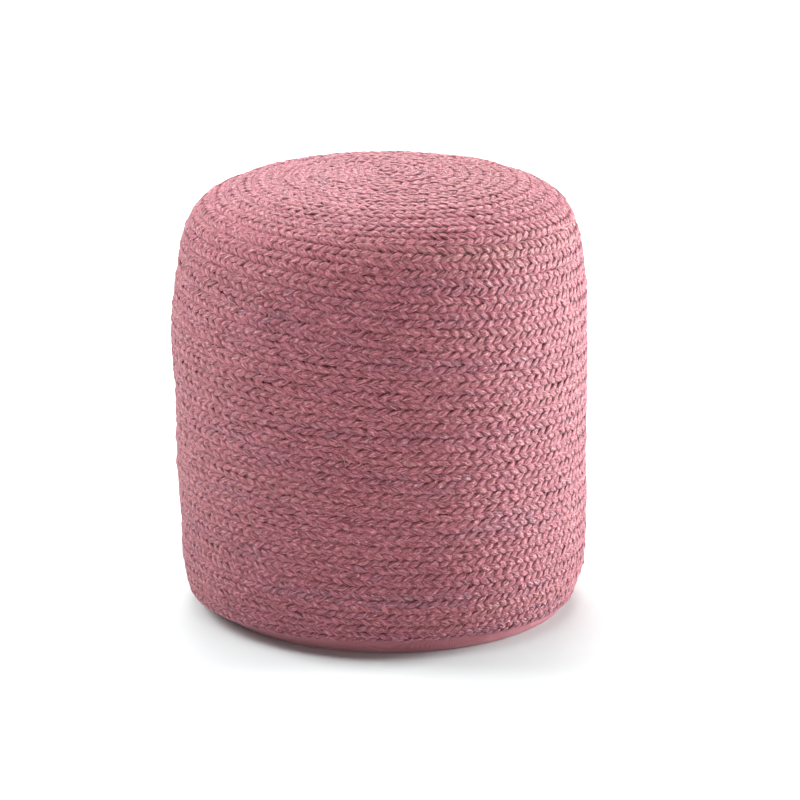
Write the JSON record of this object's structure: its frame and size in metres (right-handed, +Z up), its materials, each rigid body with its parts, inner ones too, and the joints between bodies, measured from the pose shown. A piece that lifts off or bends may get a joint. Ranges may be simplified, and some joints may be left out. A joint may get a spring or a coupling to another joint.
{
  "type": "braided jute pouf",
  "caption": "Round pouf of jute braid sewn in a spiral over a domed top and straight sides, on a flat cotton base panel. A low seat or footrest.",
  "frame": {"origin": "middle of the pouf's outline, on the surface it stands on", "axes": "+Z up, front towards -Y, +X to the right seen from the front"},
  "size_m": [0.4042, 0.4034, 0.4295],
  "materials": {
    "dyed_jute_braid": "matt rose pink jute, unevenly dyed, with natural fibres showing",
    "dyed_cotton": "matt plain woven cotton in a deeper rose"
  },
  "bodies": {
    "root": {"braided_cover": "dyed_jute_braid", "base_panel": "dyed_cotton"}
  },
  "joints": []
}
